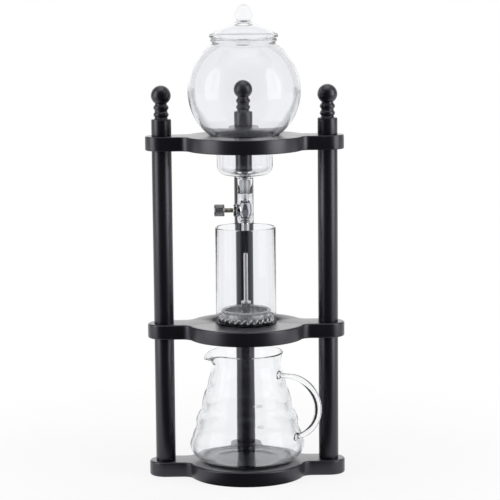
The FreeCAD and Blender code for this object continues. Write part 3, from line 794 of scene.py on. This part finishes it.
def punched(made, cutter):
    """Cut one mesh object by another and keep the result as plain mesh."""
    tool = linked("punch", meshed(cutter, "punch"))
    cut = made.modifiers.new("cut", "BOOLEAN")
    cut.object = tool
    cut.solver = "EXACT"
    result = settled(made)
    made.modifiers.clear()
    made.data = result
    result.set_sharp_from_angle(angle=math.radians(40))
    bpy.data.objects.remove(tool)
    return made


def silicone_sleeve():
    _, low, high = reach("valve_sleeve")
    pocket = through([(r + SLEEVE_SLACK, VALVE_Z + h) for r, h in BARREL], 6)
    outside = through([(STEM_R, VALVE_Z - 10.8), (SLEEVE_BULGE - 0.15, VALVE_Z - 5.0), (SLEEVE_BULGE, VALVE_Z),
                       (SLEEVE_BULGE - 0.15, VALVE_Z + 5.0), (STEM_R, VALVE_Z + 10.8)], 6)
    plug = STEM_BORE - SLEEVE_SLACK
    collar = COLLAR_R + SLEEVE_SLACK
    section = [(collar, VALVE_Z - 11.0), (collar, low + 0.3), (COLLAR_R + 0.6, low),
               (STEM_R - 0.4, low), (STEM_R, low + 0.4)] + outside
    section += [(STEM_R, STEM_END - 0.25), (plug, STEM_END - 0.05), (plug, high - 1.0), (plug - 0.8, high),
                (SLEEVE_BORE, high), (SLEEVE_BORE, VALVE_Z + 10.9)]
    made = piece(spun(section + pocket, closed=True), "silicone_sleeve", "globe",
                 CLEAR_SILICONE, ["valve_sleeve"], crease=50)
    hole = laid(spun([(0, 4.0), (HOLE_R, 4.0), (HOLE_R, 14.0), (0, 14.0)], 64))
    return punched(made, hole)


silicone_sleeve()

# %% [markdown]
# ## The coffee cylinder
#
# A cut length of glass tube with a flame-polished rim, a flat floor sealed in with a small radius, and a
# drip nozzle below. It is the most regular glass on the tower, so it gets the glass with the least ripple.

# %% Cylinder
CYLINDER_WALL = 2.0
CYLINDER_SEAT = 159.0
FLOOR_TOP = 161.4
NOZZLE_R = 5.0
NOZZLE_BORE = 2.5


def tube_cylinder():
    radius, low, high = reach("coffee_cylinder")
    inner = radius - CYLINDER_WALL
    half = CYLINDER_WALL / 2
    section = [(NOZZLE_BORE, low + 0.3), (NOZZLE_BORE + 0.3, low), (NOZZLE_R - 0.8, low), (NOZZLE_R, low + 0.8),
               (NOZZLE_R, CYLINDER_SEAT - 0.8), (NOZZLE_R + 0.8, CYLINDER_SEAT)]
    section += arc((radius - 2.6, CYLINDER_SEAT + 2.6), 2.6, -90, 0, 8)
    section += arc((radius - half, high - half), half, 0, 180, 10)
    section += arc((inner - 1.4, FLOOR_TOP + 1.4), 1.4, 0, -90, 6) + [(NOZZLE_BORE, FLOOR_TOP)]
    return piece(spun(section, closed=True), "tube_cylinder", "cylinder", TUBE_GLASS,
                 ["coffee_cylinder"], crease=70)


tube_cylinder()

# %% [markdown]
# ## The filter
#
# A dish of woven mesh stands on a flat screen. Two coil springs are bent into rings: a coarse one presses
# the screen's edge against the glass, and a fine one finishes the dish's rim. A coil bent into a ring is
# one curve, a point that circles the ring while it also circles a small section, so it is a formula.

# %% A coil spring bent into a ring
def mesh_of(curve):
    """The mesh of a curve. The object that carries the curve is thrown away again."""
    carrier = linked(curve.name, curve)
    mesh = settled(carrier)
    bpy.data.objects.remove(carrier)
    return mesh


def ring_coil(ring_r, level, half_width, half_height, turns, wire_r, points_a_turn=14):
    """Mesh of a wire that winds round a ring. Lengths are in millimetres."""
    curve = bpy.data.curves.new("coil", "CURVE")
    curve.dimensions = "3D"
    curve.bevel_depth = wire_r * MM
    curve.bevel_resolution = 2
    spline = curve.splines.new("POLY")
    count = turns * points_a_turn
    spline.points.add(count - 1)
    for index, point in enumerate(spline.points):
        along = math.tau * index / count
        round_wire = along * turns
        radius = ring_r + half_width * math.cos(round_wire)
        height = level + half_height * math.sin(round_wire)
        point.co = (radius * math.cos(along) * MM, radius * math.sin(along) * MM, height * MM, 1.0)
    spline.use_cyclic_u = True
    return mesh_of(curve)


EDGE_WIRE, EDGE_TURNS, EDGE_HALF = 0.95, 26, 2.0
RIM_WIRE, RIM_TURNS, RIM_HALF = 0.38, 76, 1.7


def edge_spring():
    radius, low, high = reach("filter_coil")
    half_height = (high - low) / 2 - EDGE_WIRE
    half_width = EDGE_HALF - EDGE_WIRE
    mesh = ring_coil(radius - EDGE_HALF, (low + high) / 2, half_width, half_height, EDGE_TURNS, EDGE_WIRE)
    return dressed(mesh, "edge_spring", "filter", SPRING_STEEL, ["filter_coil"], crease=80)


def rim_spring():
    radius, _, high = reach("filter_dish")
    half = RIM_HALF - RIM_WIRE
    mesh = ring_coil(radius - 1.2, high - RIM_HALF, half, half, RIM_TURNS, RIM_WIRE, 10)
    return dressed(mesh, "rim_spring", "filter", SPRING_STEEL, crease=80)


edge_spring()
rim_spring()

# %% Mesh dish, screen and cross plate
DISH_WALL = 0.35
DISH_CORNER = 2.0
ROD_HOLE_R = 2.0
SCREEN_EDGE = 0.2


def mesh_dish():
    radius, low, high = reach("filter_dish")
    foot = radius - 0.8
    section = [(ROD_HOLE_R, low + 0.1)]
    section += arc((foot - DISH_CORNER, low + 0.1 + DISH_CORNER), DISH_CORNER, -90, -8, 6)
    section += [(radius - 0.9, high - 2.2)]
    inside = [(r - DISH_WALL, z + DISH_WALL) for r, z in section[1:]]
    section += inside[::-1] + [(ROD_HOLE_R, low + 0.1 + DISH_WALL)]
    return piece(spun(section, closed=True), "mesh_dish", "filter", WOVEN_STEEL, ["filter_dish"],
                 crease=60)


def flat_screen():
    radius, low, high = reach("filter_screen")
    section = [(ROD_HOLE_R, low), (radius - SCREEN_EDGE, low), (radius, low + SCREEN_EDGE),
               (radius, high - SCREEN_EDGE), (radius - SCREEN_EDGE, high), (ROD_HOLE_R, high)]
    return piece(spun(section, closed=True), "flat_screen", "filter", DARK_SCREEN,
                 ["filter_screen"])


mesh_dish()
flat_screen()
welded("filter_cross_plate", "cross_plate", "filter", DRAWN_STEEL)

# %% [markdown]
# ### Hub and pull rod
#
# The hub is a tulip-shaped nut on the lathe, and the rod is drawn steel wire with a rounded end.

# %% Hub and rod
HUB_BORE = 2.25
PULL_ROD_R = 2.2
ROD_THREAD_R = 1.9
ROD_END = 1.2


def tulip_hub():
    _, low, high = reach("filter_hub")
    side = through([(6.0, low + 1.2), (4.4, low + 2.8), (3.7, low + 5.0), (3.6, low + 9.0), (3.9, low + 13.0),
                    (4.7, low + 16.8), (5.1, high - 2.2), (4.8, high - 0.6), (3.6, high)], 6)
    section = [(HUB_BORE, low), (6.0, low)] + side + [(3.1, high - 0.9), (HUB_BORE, high - 1.6)]
    return piece(spun(section, 96, closed=True), "tulip_hub", "filter", DRAWN_STEEL,
                 ["filter_hub"])


def pull_rod():
    _, low, high = reach("filter_rod")
    section = [(0, low), (ROD_THREAD_R, low), (ROD_THREAD_R, low + 6.4), (PULL_ROD_R, low + 6.8)]
    section += arc((PULL_ROD_R - ROD_END, high - ROD_END), ROD_END, 0, 90, 6) + [(0, high)]
    return piece(spun(section, 64), "pull_rod", "filter", ROD_STEEL, ["filter_rod"])


tulip_hub()
pull_rod()

# %% [markdown]
# ## The carafe
#
# Blown into a ribbed mould, then reheated at the rim, where a rod pulls the pouring lip out and down. The
# script does the same: spin the ribbed wall, then pull the vertices near the lip. The pull fades out
# smoothly with the angle from the lip and with the depth below the rim.

# %% Ribbed wall
BASE_TOP = reach("base_shelf")[2]
CARAFE_WALL = 2.0
CARAFE_FLOOR = 3.0
CARAFE_FOOT = 43.0
CARAFE_PUNT = (34.0, 1.2)
CARAFE_SIDE = [(51.6, 3.2), (58.2, 10.0), (60.3, 18.0), (57.3, 28.0), (53.6, 37.4), (53.6, 44.0),
               (51.0, 50.4), (47.8, 56.2), (46.8, 64.0), (44.7, 72.0), (41.9, 78.0), (40.4, 85.0),
               (37.5, 95.5), (36.0, 104.0), (36.7, 110.0), (38.4, 115.4)]


def carafe_line(inset, floor):
    points = [(CARAFE_FOOT - inset, BASE_TOP + floor)]
    points += [(radius - inset, BASE_TOP + max(rise, floor)) for radius, rise in CARAFE_SIDE]
    return through(points, 6)


# %% Pouring lip
LIP_ANGLE = math.radians(192.0)
LIP_PULL = 7.6
LIP_DROP = 5.8
LIP_SPREAD = math.radians(40)
LIP_DEPTH = 13.0
LIP_PINCH = 0.15
LIP_INNERMOST = 20.0


def pull_lip(bm, rim_z):
    """Move the vertices near the rim outwards and down where the lip is."""
    for vert in bm.verts:
        radius = math.hypot(vert.co.x, vert.co.y)
        if radius < LIP_INNERMOST * MM:
            continue
        turn = math.atan2(vert.co.y, vert.co.x)
        aside = math.remainder(turn - LIP_ANGLE, math.tau)
        away = aside / LIP_SPREAD
        depth = (rim_z - vert.co.z / MM) / LIP_DEPTH
        if abs(away) < 1 and depth < 1:
            share = (math.cos(away * math.pi) + 1) / 2
            fade = (1 - max(depth, 0)) ** 2
            radius += LIP_PULL * MM * share ** 0.9 * fade
            turn -= aside * LIP_PINCH * fade * share
            vert.co.x = radius * math.cos(turn)
            vert.co.y = radius * math.sin(turn)
            vert.co.z -= LIP_DROP * MM * share ** 1.5 * (1 - max(depth, 0))
    return bm


def blown_carafe():
    outer = carafe_line(0, 0)
    inner = carafe_line(CARAFE_WALL, CARAFE_FLOOR)
    rim_r, rim_z = outer[-1]
    half = CARAFE_WALL / 2
    rim = arc((rim_r - half, rim_z - half), half, 0, 180, 8)
    punt_r, punt_rise = CARAFE_PUNT
    punt = through([(0, BASE_TOP + punt_rise), (punt_r * 0.6, BASE_TOP + punt_rise * 0.7),
                    (punt_r, BASE_TOP + 0.05)], 8)
    section = punt + outer[:-1] + rim + inner[::-1][1:] + [(0, BASE_TOP + CARAFE_FLOOR)]
    bm = pull_lip(spun(section, 192), rim_z)
    return piece(bm, "blown_carafe", "carafe", SERVER_GLASS, ["carafe_body"], crease=70)


blown_carafe()

# %% [markdown]
# ### The handle
#
# A glass rod is bent into an open loop, drawn thin at both ends and pressed onto the hot wall, which
# leaves a blob at each join. The rod is a curve with a radius at each point. The blobs are flattened
# balls. A voxel remesh then melts the three into one skin, much as the flame does.

# %% Handle
HANDLE_ANGLE = math.radians(-27.0)
LOOP_R = 32.4
LOOP_CENTRE = (49.4, 76.2)
LOOP_START = -77.0
LOOP_STEPS = 24
ROD_THICK = 4.0
ROD_THIN = 2.5
BLOB_R = 4.5
BLOB_SETBACK = 12.6
UPPER_LEAN = 16
LOWER_LEAN = 24
MELT_VOXEL = 0.45


def loop_point(degrees):
    angle = math.radians(degrees)
    out = LOOP_CENTRE[0] + LOOP_R * math.cos(angle)
    return Vector((out * MM, 0, (LOOP_CENTRE[1] + LOOP_R * math.sin(angle)) * MM))


def handle_rod():
    """Mesh of the tapered rod, in the plane of the loop."""
    curve = bpy.data.curves.new("rod", "CURVE")
    curve.dimensions = "3D"
    curve.bevel_depth = MM
    curve.bevel_resolution = 6
    curve.use_fill_caps = True
    spline = curve.splines.new("POLY")
    route = []
    for step in range(LOOP_STEPS + 1):
        share = step / LOOP_STEPS
        thickness = ROD_THIN + (ROD_THICK - ROD_THIN) * math.sin(math.pi * share) ** 0.8
        route.append((loop_point(LOOP_START + (90 - LOOP_START) * share), thickness))
    top = loop_point(90)
    route += [(top - Vector((reach_in * MM, 0, 0)), ROD_THIN) for reach_in in (5, 9, 12)]
    spline.points.add(len(route) - 1)
    for point, (place, thickness) in zip(spline.points, route):
        point.co = (*place, 1.0)
        point.radius = thickness
    return mesh_of(curve)


def blob(place, lean):
    """Flattened ball of glass, pressed against a wall that leans by so many degrees."""
    bm = bmesh.new()
    bmesh.ops.create_uvsphere(bm, u_segments=32, v_segments=20, radius=BLOB_R * MM)
    bmesh.ops.scale(bm, verts=bm.verts, vec=(0.6, 1.0, 1.1))
    bmesh.ops.rotate(bm, verts=bm.verts, cent=(0, 0, 0), matrix=Matrix.Rotation(math.radians(lean), 3, "Y"))
    bmesh.ops.translate(bm, verts=bm.verts, vec=place)
    return bm


def melted(made, voxel):
    """Fuse overlapping shells into one smooth skin."""
    melt = made.modifiers.new("melt", "REMESH")
    melt.mode = "VOXEL"
    melt.voxel_size = voxel * MM
    melt.use_smooth_shade = True
    ease = made.modifiers.new("ease", "SMOOTH")
    ease.factor = 0.5
    ease.iterations = 6
    result = settled(made)
    made.modifiers.clear()
    made.data = result
    return made


def glass_handle():
    bm = bmesh.new()
    rod = handle_rod()
    bm.from_mesh(rod)
    bpy.data.meshes.remove(rod)
    upper = loop_point(90) - Vector((BLOB_SETBACK * MM, 0, 0))
    joined(bm, blob(upper, UPPER_LEAN), blob(loop_point(LOOP_START), LOWER_LEAN))
    bmesh.ops.rotate(bm, verts=bm.verts, cent=(0, 0, 0), matrix=Matrix.Rotation(HANDLE_ANGLE, 3, "Z"))
    made = piece(bm, "glass_handle", "carafe", ROD_GLASS, ["carafe_handle"], crease=80)
    return melted(made, MELT_VOXEL)


glass_handle()

# %% [markdown]
# ### Volume marks
#
# A grey printed scale, as on any jug: short ticks with plain numbers of millilitres. Text is flat, so its
# mesh is wrapped round the carafe: sideways becomes an angle, and the wall's radius comes from the section.

# %% Marks
MARKS = ((400, 45.8), (500, 66.3))
MARK_ANGLE = math.radians(-83)
MARK_HEIGHT = 3.4
FONT_SCALE = 1.35
TICK = (1.8, 0.9)
NUMBER_FROM = 3.0
INK = 0.06


def wall_radius(height):
    """Outer radius of the carafe at a height above its foot, in millimetres."""
    line = carafe_line(0, 0)
    for (r0, z0), (r1, z1) in zip(line, line[1:]):
        if z0 <= BASE_TOP + height <= z1:
            return r0 + (r1 - r0) * (BASE_TOP + height - z0) / max(z1 - z0, 1e-6)
    return line[-1][0]


def number_mesh(text):
    curve = bpy.data.curves.new("number", "FONT")
    curve.body = text
    curve.size = MARK_HEIGHT * FONT_SCALE * MM
    return mesh_of(curve)


def volume_mark(value, height):
    bm = bmesh.new()
    number = number_mesh(str(value))
    bm.from_mesh(number)
    bpy.data.meshes.remove(number)
    bmesh.ops.translate(bm, verts=bm.verts, vec=(NUMBER_FROM * MM, -MARK_HEIGHT / 2 * MM, 0))
    bar = bmesh.new()
    bmesh.ops.create_grid(bar, x_segments=8, y_segments=1, size=0.5)
    bmesh.ops.scale(bar, verts=bar.verts, vec=(TICK[0] * MM, TICK[1] * MM, 1))
    shifted(bar, x=TICK[0] / 2)
    joined(bm, bar)
    bmesh.ops.subdivide_edges(bm, edges=[e for e in bm.edges if e.calc_length() > 0.8 * MM], cuts=2)
    for vert in bm.verts:
        level = height + vert.co.y / MM
        radius = (wall_radius(level) + INK) * MM
        angle = MARK_ANGLE + vert.co.x / radius
        vert.co = (radius * math.cos(angle), radius * math.sin(angle), (BASE_TOP + level) * MM)
    return piece(bm, "volume_mark_%d" % value, "carafe", MARK_INK)


for value, height in MARKS:
    volume_mark(value, height)

# %% [markdown]
# ## Finishes of the small inner pieces
#
# The seal and the needle keep their CAD meshes, because they sit inside the valve.

# %% Inner pieces
for node, material in (("spindle_seal", BLACK_RUBBER), ("valve_needle", DRAWN_STEEL)):
    finished(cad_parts[node].data, material)
    print(node, "->", material.name)

# %% [markdown]
# ## The set
#
# A white sweep: the world is white to the camera and to every straight look through glass, while reflections
# see a small studio with a white wall behind, pale sides and a dark place where the camera stands. The
# floor follows the same idea: pale behind and beside the tower, and dark in a wedge towards the camera.
# That contrast is what makes black lacquer, chrome and glass readable. Straight below the tower the floor
# stays matt, so the tower keeps its shadow.
#
# Light Path tells what a ray has been through. A look through clear glass counts as glossy as well as
# transmitted, so these two alone don't part it from a reflection. Glossy Depth does: only reflections raise it.

# %% World
AMBIENT = 0.5
CEILING_LIGHT = 0.3
WALL_LIGHT = 0.85
PANEL_LIGHT = 0.9
CORNER_LIGHT = 0.02
GLASS_SHADE = 0.12


def ray_kinds(finish):
    """Masks for a ray: from the camera, glossy, through glass, and reflected at least once."""
    camera, glossy, through_glass = (finish.node("LightPath", output="Is %s Ray" % kind)
                                     for kind in ("Camera", "Glossy", "Transmission"))
    return camera, glossy, through_glass, finish.node("LightPath", output="Glossy Depth").above(0.5)


def studio_world():
    world = bpy.data.worlds.new("studio")
    world.use_nodes = True
    bpy.context.scene.world = world
    sky = Finish(world.node_tree)
    background = world.node_tree.nodes["Background"]
    direction = sky.node("TexCoord", output="Generated")
    y, z = sky.axis("Y", direction), sky.axis("Z", direction)
    ramp = sky.ramp
    backdrop = ramp(y, 0.60, 0.90) * ramp(z, -0.10, 0.02)
    panels = ramp(y, -0.62, -0.42) * (1 - ramp(y, -0.20, 0.10) * 0.8) + ramp(y, 0.30, 0.60) * 0.55
    ceiling = ramp(z, 0.6, 0.95)
    room = CORNER_LIGHT + backdrop * WALL_LIGHT + panels * PANEL_LIGHT + ceiling * CEILING_LIGHT
    behind_glass = GLASS_SHADE + ramp(y, -0.84, -0.66) * (1 - GLASS_SHADE)
    camera, glossy, through_glass, reflected = ray_kinds(sky)
    inside = 1 - reflected * (1 - behind_glass)
    studio = through_glass * inside + (1 - through_glass) * (glossy * room + (1 - glossy) * AMBIENT)
    strength = camera + (1 - camera) * studio
    sky.feed(background, "Color", (1.0, 1.0, 1.0, 1.0))
    sky.feed(background, "Strength", strength)


studio_world()


# %% Floor
FLOOR_HALF = 6.0
PAPER = 0.86
NEAR_GLOW = 0.84


def studio_floor():
    bm = bmesh.new()
    bmesh.ops.create_grid(bm, x_segments=2, y_segments=2, size=FLOOR_HALF)
    floor = linked("floor", meshed(bm, "floor"))
    made = Material("floor_paper", Base_Color=(PAPER, PAPER, PAPER, 1), Roughness=0.9)
    camera, glossy, through_glass, reflected = ray_kinds(made)
    indirect = glossy.larger(through_glass)
    seen = camera.larger(indirect)
    mirrored = indirect * (1 - camera) * reflected
    far = made.node("VectorMath", {"operation": "LENGTH"}, output="Value", in_0=made.place)
    y = made.axis("Y", made.place)
    fade = made.ramp(far, 0.12, 0.55)
    distant = made.ramp(y, 1.6, 2.4) * (1 - through_glass) * 0.55
    dark = (made.ramp(y / far, -0.50, -0.75) * (1 - through_glass * 0.25) + distant) * mirrored
    glow = made.node("Emission", Strength=1.0, Color=(1, 1, 1, 1))
    night = made.node("Emission", Strength=0.0, Color=(0, 0, 0, 1))
    lit = made.node("MixShader", in_0=seen * (NEAR_GLOW + fade * (1 - NEAR_GLOW)),
                    in_1=Wire(made.tree, made.shader.outputs[0]), in_2=glow)
    shade = made.node("MixShader", in_0=dark, in_1=lit, in_2=night)
    output = made.tree.nodes["Material Output"]
    made.tree.links.new(shade.socket, output.inputs["Surface"])
    finished(floor.data, made.material)
    return floor


studio_floor()


# %% Lamps
SIDE_BOX = (1.0, 2.5)


def softbox(name, place, target, size, power):
    data = bpy.data.lights.new(name, "AREA")
    data.shape = "ELLIPSE"
    data.size, data.size_y = size
    data.energy = power
    lamp = linked(name, data)
    lamp.visible_transmission = False
    turn = (Vector(target) - Vector(place)).to_track_quat("-Z", "Y")
    lamp.matrix_world = Matrix.LocRotScale(Vector(place), turn, None)
    return lamp


softbox("softbox_left", (-1.50, -0.55, 0.45), (0, 0, 0.25), SIDE_BOX, 15.0)
softbox("softbox_right", (1.45, -0.75, 0.45), (0, 0, 0.25), SIDE_BOX, 20.0)
softbox("overhead", (0, 0.1, 1.9), (0, 0, 0.2), (1.2, 1.2), 5.0)
print("three softboxes")

# %% Colour handling
bpy.context.scene.view_settings.view_transform = "Standard"
